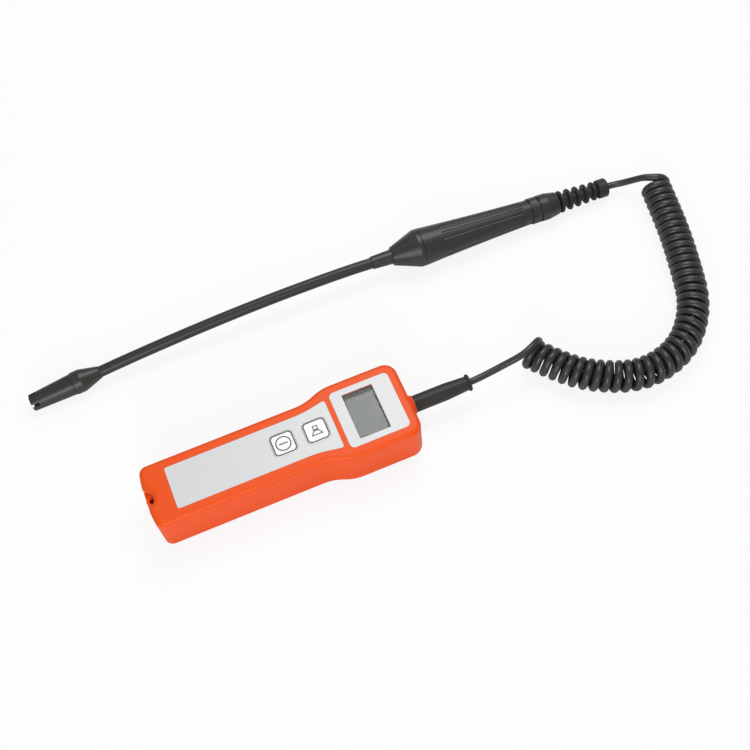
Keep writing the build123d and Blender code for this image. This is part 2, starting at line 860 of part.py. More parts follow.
# The fluted grip, turned upright and then laid along the handle's axis
with BuildPart() as upright_grip:
    with BuildSketch(Plane.XZ):
        with BuildLine():
            start = Line((ring_radius - handle_wall, 0), (ring_radius - seam_bevel, 0))
            bevel = Line(start @ 1, (ring_radius, seam_bevel))
            outside = ThreePointArc(
                bevel @ 1, (grip_middle_radius, grip_length / 2), (grip_end_radius, grip_length)
            )
            end = Line(outside @ 1, (grip_end_radius - handle_wall, grip_length))
            ThreePointArc(
                end @ 1, (grip_middle_radius - handle_wall, grip_length / 2), start @ 0
            )
        make_face()
    revolve(axis=Axis.Z)
    with PolarLocations(0, flute_count):
        add(flute_rod, mode=Mode.SUBTRACT)

with BuildPart() as handle_grip:
    with Locations(handle_frame):
        add(upright_grip.part)

save(handle_grip, "handle_grip")

# Collar between two recessed rings, with a small raised tab on its upper side
with BuildPart() as handle_collar:
    collar_points = [
        (collet_radius, grip_length), (groove_radius, grip_length), (groove_radius, collar_start),
        (collar_radius, collar_start), (collar_radius, collar_end), (groove_radius, collar_end),
        (groove_radius, nut_start), (collet_radius, nut_start),
    ]
    revolve(half_profile(handle_frame, collar_points), axis=handle_axis)
    tab_station = (collar_start + collar_end) / 2
    tab_out = (Vector(0, 0, 1) - handle_frame.z_dir * handle_frame.z_dir.Z).normalized()
    tab_plane = Plane(
        handle_frame.origin + handle_frame.z_dir * tab_station,
        x_dir=handle_frame.z_dir, z_dir=tab_out,
    )
    with BuildSketch(tab_plane.offset(collar_radius - 1)):
        Rectangle(collar_length - 1, collar_tab_width)
    extrude(amount=1 + collar_tab_rise)

save(handle_collar, "handle_collar")

with BuildPart() as cap_nut:
    nut_points = [
        (collet_radius + nut_gap, nut_start), (cap_nut_radius, nut_start),
        (cap_nut_radius, nut_start + cap_nut_straight), (cap_nut_end_radius, nut_end),
        (protector_root_radius + nut_gap, nut_end),
        (protector_root_radius + nut_gap, nut_end - handle_wall),
        (collet_radius + nut_gap, nut_end - 2 * handle_wall),
    ]
    revolve(half_profile(handle_frame, nut_points), axis=handle_axis)
    nut_rims = cap_nut.edges().filter_by(GeomType.CIRCLE)
    fillet(nut_rims.filter_by(lambda edge: edge.radius > cap_nut_end_radius - nut_gap), cap_nut_round)

save(cap_nut, "cap_nut")

# Slotted collet that the nut closes on the cord
with BuildPart() as cord_collet:
    collet_start = grip_length - collet_length / 2
    collet_outside = grip_end_radius - handle_wall - nut_gap
    collet_points = [
        (cord_radius, collet_start), (collet_outside, collet_start),
        (collet_outside, collet_start + collet_length), (cord_radius, collet_start + collet_length),
    ]
    revolve(half_profile(handle_frame, collet_points), axis=handle_axis)
    with BuildSketch(handle_frame.offset(collet_start)):
        Rectangle(2 * collet_radius, collet_slot)
        Rectangle(collet_slot, 2 * collet_radius)
    extrude(amount=collet_length * collet_slot_share, mode=Mode.SUBTRACT)

save(cord_collet, "cord_collet")

# Bend protector: a tapered core with rounded fins and a plain end collar
with BuildPart() as bend_protector:
    core_points = [
        (0, nut_end - protector_spigot_length),
        (protector_root_radius, nut_end - protector_spigot_length),
        (protector_root_radius, nut_end), (protector_end_radius, protector_end - 1), (0, protector_end - 1),
    ]
    revolve(half_profile(handle_frame, core_points), axis=handle_axis)
    for index in range(fin_count):
        fin_station = nut_end + fin_first + index * fin_pitch
        share = index / (fin_count - 1)
        fin_radius = fin_root_radius + (fin_end_radius - fin_root_radius) * share
        with BuildSketch(handle_frame.offset(fin_station - fin_thickness / 2)) as fin:
            Circle(fin_radius)
        extrude(amount=fin_thickness)
    end_collar = handle_frame.offset(protector_end - end_collar_length)
    with BuildSketch(end_collar):
        Circle(end_collar_radius)
    extrude(amount=end_collar_length)
    fin_rims = bend_protector.edges().filter_by(GeomType.CIRCLE)
    fillet(fin_rims.filter_by(lambda edge: edge.radius > fin_end_radius - nut_gap), fin_round)

save(bend_protector, "bend_protector")

# Ferrule and gooseneck
with BuildPart() as gooseneck_ferrule:
    ferrule_end = -nose_length - ferrule_length
    ferrule_points = [
        (neck_radius + neck_seat_gap, ferrule_end), (ferrule_end_radius, ferrule_end),
        (ferrule_radius, -nose_length), (neck_radius + neck_seat_gap, -nose_length),
    ]
    revolve(half_profile(handle_frame, ferrule_points), axis=handle_axis)

save(gooseneck_ferrule, "gooseneck_ferrule")

head_radius_at_floor = boot_radius + floor_gap
head_height = head_radius_at_floor + boot_cone_length * sin(radians(head_dip)) + 0.5
head_frame = axis_frame((head_x, head_y, head_height), 180 + head_yaw, head_dip)
head_axis = turning_axis(head_frame)

# Centre line of the gooseneck from the ferrule to the sensor head
neck_root = handle_frame.origin - handle_frame.z_dir * (nose_length + ferrule_length)
neck_pull = (Vector(head_x, head_y, head_height) - neck_root).length / 3
neck_line = Bezier(
    neck_root, neck_root - handle_frame.z_dir * neck_pull,
    head_frame.origin - head_frame.z_dir * neck_pull, head_frame.origin,
    mode=Mode.PRIVATE,
)
flex_points = [neck_line @ ((index + 0.5) / neck_joints) for index in range(neck_joints)]
root_length = (flex_points[0] - neck_root).length
last_length = (head_frame.origin - flex_points[-1]).length
flex_points[0] = neck_root - handle_frame.z_dir * root_length
flex_points[-1] = head_frame.origin - head_frame.z_dir * last_length
socket_radius = ball_radius + socket_gap


def span_profile(frame, length, ball_start, socket_end):
    """Half profile of one length of the gooseneck: a ball at its start, a socket at its end."""
    with BuildSketch(profile_plane(frame)) as profile:
        with BuildLine():
            if ball_start:
                ball_pole = (neck_bore, -sqrt(ball_radius**2 - neck_bore**2))
                half_turn = radians(30)
                ball_side = (ball_radius * cos(half_turn), -ball_radius * sin(half_turn))
                ThreePointArc(ball_pole, ball_side, (ball_radius, 0))
                Polyline((ball_radius, 0), (ball_radius, ball_neck), (neck_radius, ball_neck))
                inner_start = ball_pole
                outer_start = (neck_radius, ball_neck)
            else:
                inner_start = (neck_bore, 0)
                outer_start = (neck_radius, 0)
                Line(inner_start, outer_start)
            if socket_end:
                rim_inner = (sqrt(socket_radius**2 - socket_rim**2), length - socket_rim)
                socket_pole = (neck_bore, length - sqrt(socket_radius**2 - neck_bore**2))
                half_turn = radians(40)
                socket_side = (socket_radius * cos(half_turn), length - socket_radius * sin(half_turn))
                Polyline(outer_start, (neck_radius, length - socket_rim), rim_inner)
                ThreePointArc(rim_inner, socket_side, socket_pole)
                Line(socket_pole, inner_start)
            else:
                Polyline(outer_start, (neck_radius, length), (neck_bore, length), inner_start)
        make_face()
    return profile.sketch


def frame_between(start, end):
    """Frame at start whose Z axis points at end."""
    along = end - start
    return Plane(start, x_dir=Vector(0, 0, 1).cross(along) * -1, z_dir=along)


# The end in the nose cone reaches through the ferrule, the end in the sensor head into the boot
held_length = ferrule_length + handle_wall
with BuildPart() as gooseneck_root_end:
    root_start = neck_root + handle_frame.z_dir * held_length
    root_frame = frame_between(root_start, flex_points[0])
    revolve(
        span_profile(root_frame, held_length + root_length, False, True),
        axis=turning_axis(root_frame),
    )

save(gooseneck_root_end, "gooseneck_root_end")

for index in range(neck_joints - 1):
    span_start = flex_points[index]
    span_end = flex_points[index + 1]
    span_frame = frame_between(span_start, span_end)
    with BuildPart() as gooseneck_span:
        revolve(
            span_profile(span_frame, (span_end - span_start).length, True, True),
            axis=turning_axis(span_frame),
        )
    save(gooseneck_span, f"gooseneck_span_{index + 1}")

with BuildPart() as gooseneck_head_end:
    last_frame = frame_between(flex_points[-1], head_frame.origin)
    revolve(
        span_profile(last_frame, last_length + neck_insert, True, False),
        axis=turning_axis(last_frame),
    )

save(gooseneck_head_end, "gooseneck_head_end")

# Sensor head: flared boot, slotted tip cap, and the sensor with its filter inside
with BuildPart() as sensor_boot:
    seat_radius = neck_radius + neck_seat_gap
    boot_points = [
        (seat_radius, 0), (boot_root_radius, 0), (boot_radius, boot_cone_length), (boot_radius, boot_length),
        (tip_root_radius - boot_wall, boot_length), (tip_root_radius - boot_wall, boot_cone_length - 1),
        (seat_radius, neck_insert),
    ]
    revolve(half_profile(head_frame, boot_points), axis=head_axis)
    boot_rims = sensor_boot.edges().filter_by(GeomType.CIRCLE)
    fillet(boot_rims.filter_by(lambda edge: edge.radius > boot_radius - neck_seat_gap), boot_round)

save(sensor_boot, "sensor_boot")

with BuildPart() as tip_cap:
    spigot_radius = tip_root_radius - boot_wall - spigot_gap
    tip_end = boot_length + tip_cap_length
    cap_points = [
        (tip_bore_radius, boot_length - tip_spigot), (spigot_radius, boot_length - tip_spigot),
        (spigot_radius, boot_length), (tip_root_radius, boot_length), (tip_end_radius, tip_end),
        (tip_bore_radius, tip_end),
    ]
    revolve(half_profile(head_frame, cap_points), axis=head_axis)
    tip_rim = tip_cap.edges().filter_by(GeomType.CIRCLE).sort_by(Axis.Y)
    fillet(tip_rim.filter_by(lambda edge: abs(edge.radius - tip_end_radius) < spigot_gap), tip_round)
    with BuildSketch(head_frame.offset(tip_end - tip_slot_depth)):
        with Locations(Location((0, 0, 0), (0, 0, tip_slot_turn))):
            Rectangle(3 * tip_root_radius, tip_slot_width)
            Rectangle(tip_slot_width, 3 * tip_root_radius)
    extrude(amount=tip_slot_depth, mode=Mode.SUBTRACT)

save(tip_cap, "tip_cap")

sensor_front = boot_length + tip_cap_length - sensor_recess
sensor_back = sensor_front - sensor_length

with BuildPart() as sensor_element:
    with BuildSketch(head_frame.offset(sensor_back)):
        Circle(sensor_radius)
    extrude(amount=sensor_length)
    fillet(sensor_element.edges().filter_by(GeomType.CIRCLE), sensor_round)

save(sensor_element, "sensor_element")

with BuildPart() as sensor_filter:
    with BuildSketch(head_frame.offset(sensor_front)):
        Circle(tip_bore_radius - spigot_gap)
    extrude(amount=filter_thickness)

save(sensor_filter, "sensor_filter")

with BuildPart() as sensor_socket:
    with BuildSketch(head_frame.offset(sensor_back - socket_length)):
        Circle(tip_bore_radius - socket_side_gap)
        Circle(neck_bore, mode=Mode.SUBTRACT)
    extrude(amount=socket_length)

save(sensor_socket, "sensor_socket")


# Cord: plain tubes of straight runs joined by tangent arcs, and the coil's outer form between them

def corner_radii(points):
    """Radius of each corner: 0.45 of its shorter run over the tangent of half the turn."""
    radii = []
    for before, corner, after in zip(points, points[1:], points[2:]):
        run_in = Vector(*corner) - Vector(*before)
        run_out = Vector(*after) - Vector(*corner)
        half_turn = radians(run_in.get_angle(run_out)) / 2
        radii.append(0.45 * min(run_in.length, run_out.length) / tan(half_turn))
    return radii


def make_cord(points, radius, name):
    radii = corner_radii(points)
    with BuildPart() as cord:
        with BuildLine() as route:
            FilletPolyline(*points, radius=radii)
        path = route.wires()[0]
        with BuildSketch(Plane(path @ 0, z_dir=path % 0)):
            Circle(radius)
        sweep(path=path)
    expected = pi * radius**2 * path.length
    print(name, "radii", [round(value, 1) for value in radii])
    print(name, "length", round(path.length, 1), "volume", round(cord.part.volume), "of", round(expected))
    save(cord, name)


unit_runs = (sleeve_length, sleeve_length + unit_tail_start)
unit_exit = [sleeve_frame.origin + sleeve_frame.z_dir * run for run in unit_runs]
probe_runs = (protector_end, protector_end + probe_tail_start)
probe_exit = [handle_frame.origin + handle_frame.z_dir * run for run in probe_runs]
make_cord([tuple(point) for point in unit_exit] + unit_tail_route, cord_radius, "cord_unit_tail")
make_cord([(x, y, coil_height) for x, y in coil_route], coil_radius, "cord_coil")
make_cord([tuple(point) for point in probe_exit] + probe_tail_route, cord_radius, "cord_probe_tail")

print("flex points", [tuple(round(value, 3) for value in point) for point in flex_points])
print("head frame", head_frame.origin, head_frame.z_dir)
print("exits", unit_exit, probe_exit)
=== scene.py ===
import json
import math

import bmesh
import bpy
from mathutils import Matrix, Vector


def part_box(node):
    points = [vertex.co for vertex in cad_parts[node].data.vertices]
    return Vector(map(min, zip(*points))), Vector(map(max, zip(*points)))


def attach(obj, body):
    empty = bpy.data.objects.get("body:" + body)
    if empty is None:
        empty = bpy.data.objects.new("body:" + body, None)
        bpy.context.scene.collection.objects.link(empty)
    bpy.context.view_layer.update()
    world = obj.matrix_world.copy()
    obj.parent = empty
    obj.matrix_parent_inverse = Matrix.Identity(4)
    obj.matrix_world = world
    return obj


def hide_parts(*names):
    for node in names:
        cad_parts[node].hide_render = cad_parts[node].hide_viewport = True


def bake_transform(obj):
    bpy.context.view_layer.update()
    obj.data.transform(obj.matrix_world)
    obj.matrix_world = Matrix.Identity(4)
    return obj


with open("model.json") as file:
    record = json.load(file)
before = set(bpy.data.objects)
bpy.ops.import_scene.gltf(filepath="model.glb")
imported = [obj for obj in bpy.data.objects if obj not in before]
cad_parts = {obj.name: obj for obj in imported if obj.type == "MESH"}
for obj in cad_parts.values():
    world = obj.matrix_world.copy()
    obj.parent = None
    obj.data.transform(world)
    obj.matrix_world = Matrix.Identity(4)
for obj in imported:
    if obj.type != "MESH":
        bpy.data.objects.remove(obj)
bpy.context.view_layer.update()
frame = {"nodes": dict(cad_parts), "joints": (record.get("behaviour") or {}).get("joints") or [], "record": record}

MM = 0.001
UP = Vector((0, 0, 1))

# %% [markdown]
# # A hand-held gas detector with a gooseneck probe
# The frame that was just loaded holds every solid of the instrument, in metres, at its real
# place. This lesson dresses it. The moulded pieces keep their solids and get their finishes from
# shader nodes. What the solids only stand in for is made anew: the smooth sheath of the
# gooseneck, the thin fins of the bend protector, and the curly cord with its two tails. The print
# on the keys, the gasket round the display and the gauze in the tip are added.

# %% [markdown]
# ## Steps that come back
# Nearly every piece below is put in the scene, cleaned, or read back as a plain mesh, and nearly
# every node tree does sums. Each of these steps is written once, here.

# %% Small helpers
def in_metres(points):
    """Points in mm as vectors in metres."""
    return [Vector(point) * MM for point in points]


def put_in_scene(name, data):
    """A new object with this data, linked to the scene."""
    item = bpy.data.objects.new(name, data)
    bpy.context.scene.collection.objects.link(item)
    return item


def take_mesh(carrier):
    """The plain mesh that an object comes out as. The object itself is removed."""
    depsgraph = bpy.context.evaluated_depsgraph_get()
    mesh = bpy.data.meshes.new_from_object(carrier.evaluated_get(depsgraph), depsgraph=depsgraph)
    bpy.data.objects.remove(carrier)
    return mesh


def closed_piece(name, mesh):
    """Merge doubled points, point the faces outwards and put the mesh in the scene."""
    form = bmesh.new()
    form.from_mesh(mesh)
    bmesh.ops.remove_doubles(form, verts=form.verts, dist=1e-7)
    bmesh.ops.recalc_face_normals(form, faces=form.faces)
    form.to_mesh(mesh)
    form.free()
    piece = put_in_scene(name, mesh)
    return piece


def math_node(tree, operation, *values):
    """A math node on numbers and on the outputs of other nodes. Returns its output."""
    node = tree.nodes.new("ShaderNodeMath")
    node.operation = operation
    for socket, value in zip(node.inputs, values):
        if isinstance(value, (int, float)):
            socket.default_value = value
        else:
            tree.links.new(value, socket)
    return node.outputs[0]


# %% [markdown]
# ## The camera
# The picture looks down on the instrument from its right, from above the keys, with a long lens.
# A camera can be placed by hand, by a constraint, or by a matrix. The matrix is the most exact:
# its columns are the picture's right, the picture's up, and the way back from the view.

# %% Camera
def make_camera(place, along, roll, lens):
    """A camera at place that looks along a direction, turned by roll about it."""
    along = Vector(along).normalized()
    level_right = along.cross(UP).normalized()
    level_up = level_right.cross(along)
    right = level_right * math.cos(roll) + level_up * math.sin(roll)
    up = level_up * math.cos(roll) - level_right * math.sin(roll)
    data = bpy.data.cameras.new("view_camera")
    data.lens = lens
    data.sensor_width = 36.0
    data.clip_start = 0.01
    data.clip_end = 20.0
    made = put_in_scene("view_camera", data)
    turn = Matrix((right, up, -along)).transposed().to_4x4()
    made.matrix_world = Matrix.Translation(place) @ turn
    return made


view_place = Vector((0.297472, -0.01675, 0.644847))
view_along = (-0.456145, 0.122838, -0.881386)
view_roll = math.radians(-8.139)
view_lens = 56.44
camera = make_camera(view_place, view_along, view_roll, view_lens)
bpy.context.scene.camera = camera
bpy.context.scene.view_settings.view_transform = "Standard"
print("camera at", tuple(round(v, 3) for v in camera.location), "lens", camera.data.lens)

# %% [markdown]
# ## Floor and light
# A product picture has a white ground and soft light. The ground and the sky are shown white to
# the camera with the Light Path node, so that no lamp has to be turned up until the orange fades.
# One large soft lamp above and one at the side give the gentle shine on the black parts.

# %% Floor, sky and lamps
ground_size = 30.0
ground_drop = 0.1 * MM
ground_white = 0.86
# Distances from the ground's middle, in metres, between which it turns white.
white_starts = 0.35
white_ends = 1.3
clear_within = 3 * MM
sky_strength = 0.37
lamp_size = 0.6


def white_share(tree, value, starts, ends, lowest):
    """A value that runs from starts to ends, mapped to run from lowest to one."""
    level = tree.nodes.new("ShaderNodeMapRange")
    level.inputs["From Min"].default_value = starts
    level.inputs["From Max"].default_value = ends
    level.inputs["To Min"].default_value = lowest
    level.inputs["To Max"].default_value = 1.0
    tree.links.new(value, level.inputs["Value"])
    return level.outputs["Result"]


def mix_shaders(tree, share, first, second):
    """A blend of two shaders' outputs: the second one's share is given."""
    mix = tree.nodes.new("ShaderNodeMixShader")
    tree.links.new(share, mix.inputs["Fac"])
    tree.links.new(first.outputs[0], mix.inputs[1])
    tree.links.new(second.outputs[0], mix.inputs[2])
    return mix


def white_ground():
    """A pale ground: a faint shadow near the object, white far off, and clear from below.

    Light that leaves a face close to it passes too, so that undersides are not black.
    """
    material = bpy.data.materials.new("ground")
    material.use_nodes = True
    tree = material.node_tree
    nodes, links = tree.nodes, tree.links
    nodes.clear()
    plain = nodes.new("ShaderNodeBsdfDiffuse")
    plain.inputs["Color"].default_value = (ground_white, ground_white, ground_white, 1)
    glow = nodes.new("ShaderNodeEmission")
    glow.inputs["Strength"].default_value = 1.0
    path = nodes.new("ShaderNodeLightPath")
    place = nodes.new("ShaderNodeTexCoord")
    distance = nodes.new("ShaderNodeVectorMath")
    distance.operation = "LENGTH"
    links.new(place.outputs["Object"], distance.inputs[0])
    whiter = white_share(tree, distance.outputs["Value"], white_starts, white_ends, ground_white)
    share = math_node(tree, "MULTIPLY", path.outputs["Is Camera Ray"], whiter)
    lit = mix_shaders(tree, share, plain, glow)
    side = nodes.new("ShaderNodeNewGeometry")
    near = math_node(tree, "LESS_THAN", path.outputs["Ray Length"], clear_within)
    passed = math_node(tree, "MAXIMUM", near, side.outputs["Backfacing"])
    clear = nodes.new("ShaderNodeBsdfTransparent")
    out = nodes.new("ShaderNodeOutputMaterial")
    links.new(mix_shaders(tree, passed, lit, clear).outputs[0], out.inputs["Surface"])
    return material


bpy.ops.mesh.primitive_plane_add(size=ground_size, location=(0, 0.1, -ground_drop))
ground = bpy.context.object
ground.name = "ground"
ground.data.materials.append(white_ground())


def make_sky(strength):
    """A grey-white sky that lights everything, and shows white where the camera sees it."""
    world = bpy.data.worlds.new("sky")
    bpy.context.scene.world = world
    world.use_nodes = True
    tree = world.node_tree
    back = tree.nodes["Background"]
    back.inputs["Color"].default_value = (1, 1, 1, 1)
    path = tree.nodes.new("ShaderNodeLightPath")
    seen = math_node(
        tree, "MAXIMUM", path.outputs["Is Camera Ray"], path.outputs["Is Transmission Ray"]
    )
    level = white_share(tree, seen, 0.0, 1.0, strength)
    tree.links.new(level, back.inputs["Strength"])


def soft_lamp(name, place, target, size, power):
    """A square lamp at place that faces target."""
    data = bpy.data.lights.new(name, "AREA")
    data.size = size
    data.energy = power
    lamp = put_in_scene(name, data)
    lamp.location = place
    toward = Vector(target) - Vector(place)
    lamp.rotation_euler = toward.to_track_quat("-Z", "Y").to_euler()


make_sky(sky_strength)
soft_lamp("lamp_above", (-0.45, 0.35, 0.95), (-0.03, 0.08, 0), lamp_size, 6.3)
soft_lamp("lamp_side", (0.9, -0.3, 0.6), (0, 0.1, 0), lamp_size, 7.0)

# %% [markdown]
# ## Effects that several finishes share
# Moulded plastic is never one flat colour. Its tool leaves a fine grain, and the colour and the
# shine drift a little over the surface. Each effect is a node group with named sizes, built once
# and placed in each finish with its own values. The groups put out colours, values and normals,
# and the shader itself stays in the material.

# %% Node groups
def new_group(name, inputs, outputs):
    """A shader node group. Its inputs are (name, type, value), its outputs (name, type)."""
    group = bpy.data.node_groups.new(name, "ShaderNodeTree")
    for socket, kind, value in inputs:
        made = group.interface.new_socket(socket, in_out="INPUT", socket_type=kind)
        made.default_value = value
    for socket, kind in outputs:
        group.interface.new_socket(socket, in_out="OUTPUT", socket_type=kind)
    return group, group.nodes.new("NodeGroupInput"), group.nodes.new("NodeGroupOutput")


def object_noise(group, scale, detail):
    """A noise texture on object coordinates, whose scale comes from a socket."""
    place = group.nodes.new("ShaderNodeTexCoord")
    noise = group.nodes.new("ShaderNodeTexNoise")
    noise.inputs["Detail"].default_value = detail
    group.links.new(place.outputs["Object"], noise.inputs["Vector"])
    group.links.new(scale, noise.inputs["Scale"])
    return noise.outputs["Fac"]


def make_drift_group():
    """Colour and roughness that wander slowly over a moulding."""
    group, inputs, outputs = new_group(
        "colour drift",
        [
            ("Color", "NodeSocketColor", (0.5, 0.5, 0.5, 1)),
            ("Amount", "NodeSocketFloat", 0.06),
            ("Scale", "NodeSocketFloat", 60.0),
            ("Roughness", "NodeSocketFloat", 0.45),
            ("Roughness Swing", "NodeSocketFloat", 0.08),
        ],
        [("Color", "NodeSocketColor"), ("Roughness", "NodeSocketFloat")],
    )
    sizes = inputs.outputs
    noise = object_noise(group, sizes["Scale"], 4.0)
    centred = math_node(group, "SUBTRACT", noise, 0.5)
    swing = math_node(group, "MULTIPLY_ADD", centred, sizes["Amount"], 1.0)
    tint = group.nodes.new("ShaderNodeVectorMath")
    tint.operation = "SCALE"
    group.links.new(sizes["Color"], tint.inputs[0])
    group.links.new(swing, tint.inputs["Scale"])
    group.links.new(tint.outputs[0], outputs.inputs["Color"])
    dull = math_node(group, "MULTIPLY_ADD", centred, sizes["Roughness Swing"], sizes["Roughness"])
    group.links.new(dull, outputs.inputs["Roughness"])
    return group


def make_grain_group():
    """The fine spark-eroded grain of a moulding tool, as a normal."""
    group, inputs, outputs = new_group(
        "moulding grain",
        [
            ("Scale", "NodeSocketFloat", 2500.0),
            ("Strength", "NodeSocketFloat", 0.2),
            ("Depth", "NodeSocketFloat", 0.03 * MM),
        ],
        [("Normal", "NodeSocketVector")],
    )
    noise = object_noise(group, inputs.outputs["Scale"], 2.0)
    bump = group.nodes.new("ShaderNodeBump")
    group.links.new(noise, bump.inputs["Height"])
    group.links.new(inputs.outputs["Strength"], bump.inputs["Strength"])
    group.links.new(inputs.outputs["Depth"], bump.inputs["Distance"])
    group.links.new(bump.outputs["Normal"], outputs.inputs["Normal"])
    return group


drift_group = make_drift_group()
grain_group = make_grain_group()
print("groups", [g.name for g in bpy.data.node_groups])

# %% [markdown]
# ## Finishes
# One function makes every moulded finish: the drift group gives colour and roughness, the grain
# group the normal, and the Principled shader the rest. A finish differs from the next only in
# its values, which keeps the set easy to tune against the picture.

# %% Moulded finishes
def srgb(red, green, blue):
    """A screen colour of 0 to 255 as the linear colour that shaders take."""
    parts = []
    for value in (red, green, blue):
        part = value / 255
        parts.append(part / 12.92 if part <= 0.04045 else ((part + 0.055) / 1.055) ** 2.4)
    return (*parts, 1.0)


def place_group(material, group, values):
    """A node in the material that holds a group, with these values on its sockets."""
    node = material.node_tree.nodes.new("ShaderNodeGroup")
    node.node_tree = group
    for name, value in values.items():
        node.inputs[name].default_value = value
    return node


def drifting_material(name, color, amount, scale, roughness, swing):
    """A material and its shader, whose colour and roughness come from the drift group."""
    material = bpy.data.materials.new(name)
    material.use_nodes = True
    links = material.node_tree.links
    shader = material.node_tree.nodes["Principled BSDF"]
    drift = place_group(material, drift_group, {
        "Color": color, "Amount": amount, "Scale": scale, "Roughness": roughness,
        "Roughness Swing": swing,
    })
    links.new(drift.outputs["Color"], shader.inputs["Base Color"])
    links.new(drift.outputs["Roughness"], shader.inputs["Roughness"])
    return material, shader


def moulded(name, color, roughness, amount=0.06, scale=60.0, swing=0.08, grain=0.2,
            grain_scale=2500.0, specular=0.5, metallic=0.0):
    """A procedural finish: drifting colour and roughness, and a fine grain."""
    material, shader = drifting_material(name, color, amount, scale, roughness, swing)
    surface = place_group(material, grain_group, {"Scale": grain_scale, "Strength": grain})
    material.node_tree.links.new(surface.outputs["Normal"], shader.inputs["Normal"])
    shader.inputs["Specular IOR Level"].default_value = specular
    shader.inputs["Metallic"].default_value = metallic
    return material


finish = {
    "housing_orange": moulded(
        "housing orange", srgb(234, 80, 5), 0.46, amount=0.05, scale=25, grain=0.15, specular=0.3
    ),
    "film_grey": moulded(
        "printed film", srgb(210, 211, 212), 0.34, amount=0.03, scale=30, grain=0.06
    ),
    "key_white": moulded("key cap", srgb(240, 240, 239), 0.4, amount=0.02, scale=90, grain=0.05),
    "key_ink": moulded("key ink", srgb(72, 70, 70), 0.5, amount=0.05, grain=0.05),
    "lcd_grey": moulded(
        "display glass", srgb(62, 72, 60), 0.25, amount=0.03, scale=40, grain=0.02
    ),
    "board_green": moulded("board lacquer", srgb(24, 96, 56), 0.3, amount=0.1, scale=120),
    "black_moulding": moulded("black moulding", srgb(40, 40, 40), 0.5),
    "connector_cream": moulded("connector nylon", srgb(225, 218, 196), 0.5),
    "collet_nylon": moulded("collet nylon", srgb(50, 50, 50), 0.5),
    "handle_black": moulded(
        "handle black", srgb(40, 42, 39), 0.4, amount=0.1, scale=70, swing=0.12, grain=0.25
    ),
    "soft_black": moulded(
        "soft black", srgb(36, 38, 35), 0.5, amount=0.1, scale=80, grain=0.25, specular=0.4
    ),
    "neck_sheath": moulded(
        "sheath black", srgb(42, 44, 41), 0.42, amount=0.1, scale=50, grain=0.3, specular=0.4
    ),
    "cord_black": moulded(
        "cord jacket", srgb(44, 45, 46), 0.36, amount=0.12, scale=90, grain=0.12
    ),
    "screw_steel": moulded("screw steel", srgb(190, 190, 192), 0.35, metallic=1.0),
    "contact_nickel": moulded(
        "contact nickel", srgb(205, 200, 188), 0.25, metallic=1.0, grain=0.1
    ),
    "cell_jacket": moulded("cell jacket", srgb(70, 78, 92), 0.3, metallic=0.3, grain=0.05),
    "sensor_steel": moulded("sensor steel", srgb(176, 176, 174), 0.35, metallic=1.0),
    "filter_mesh": moulded(
        "filter metal", srgb(150, 150, 146), 0.5, metallic=1.0, grain=0.8, grain_scale=6000
    ),
}
print("finishes", len(finish))

# %% [markdown]
# ## The clear window
# The window is a thin clear plate over the display. Its roughness comes from the same group as
# the rest.

# %% Window finish
window_tint = (0.75, 0.78, 0.76, 1)
window_shader_share = 0.06
clear_window, window_shader = drifting_material(
    "clear window", window_tint, amount=0.02, scale=50.0, roughness=0.06, swing=0.03
)
window_shader.inputs["Alpha"].default_value = window_shader_share
finish["window_clear"] = clear_window

# %% Every solid gets its finish
for part in frame["record"]["subparts"]:
    node = frame["nodes"][part["node"]]
    if not node.data.materials:
        node.data.materials.append(finish[part["material_slot"]])
    for place in node.material_slots:
        place.material = finish[part["material_slot"]]
print("dressed", len(frame["nodes"]), "solids")

# %% [markdown]
# ## Print on the keys
# Each key carries a rounded outline, and a symbol inside it: a ring with a bar for on and off,
# and a loudspeaker for the tone. Ink has a hair of thickness on a real key, so each print is a
# flat filled curve with a small depth, made a mesh and laid on the key's top. A picture texture
# would blur when seen close, and its edge could not be so sharp.

# %% Flat printed shapes
def rounded_loop(half_x, half_y, radius, steps=8):
    """Points of a rounded rectangle about the origin, in order."""
    points = []
    for corner, (sx, sy) in enumerate(((1, 1), (-1, 1), (-1, -1), (1, -1))):
        for step in range(steps + 1):
            turn = math.radians(90) * (corner + step / steps)
            points.append((
                sx * (half_x - radius) + radius * math.cos(turn),
                sy * (half_y - radius) + radius * math.sin(turn),
            ))
    return points


def round_loop(radius, steps=48):
    """Points of a circle about the origin, in order."""
    turns = [2 * math.pi * step / steps for step in range(steps)]
    return [(radius * math.cos(turn), radius * math.sin(turn)) for turn in turns]


def flat_shape(name, loops, centre, low, height, surface, body):
    """A plate with these outlines in mm, from low up: loops inside one another are left open."""
    curve = bpy.data.curves.new(name, "CURVE")
    curve.dimensions = "2D"
    curve.fill_mode = "BOTH"
    curve.extrude = height / 2
    for loop in loops:
        spline = curve.splines.new("POLY")
        spline.points.add(len(loop) - 1)
        for point, (x, y) in zip(spline.points, loop):
            point.co = (x * MM, y * MM, 0, 1)
        spline.use_cyclic_u = True
    mesh = take_mesh(put_in_scene(name + "_flat", curve))
    mesh.name = name
    mesh.transform(Matrix.Translation((*centre, low + height / 2)))
    mesh.materials.clear()
    mesh.materials.append(finish[surface])
    piece = closed_piece(name, mesh)
    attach(piece, body)


def middle_of(low, high):
    """The middle of a box, seen from above."""
    return (low.x + high.x) / 2, (low.y + high.y) / 2


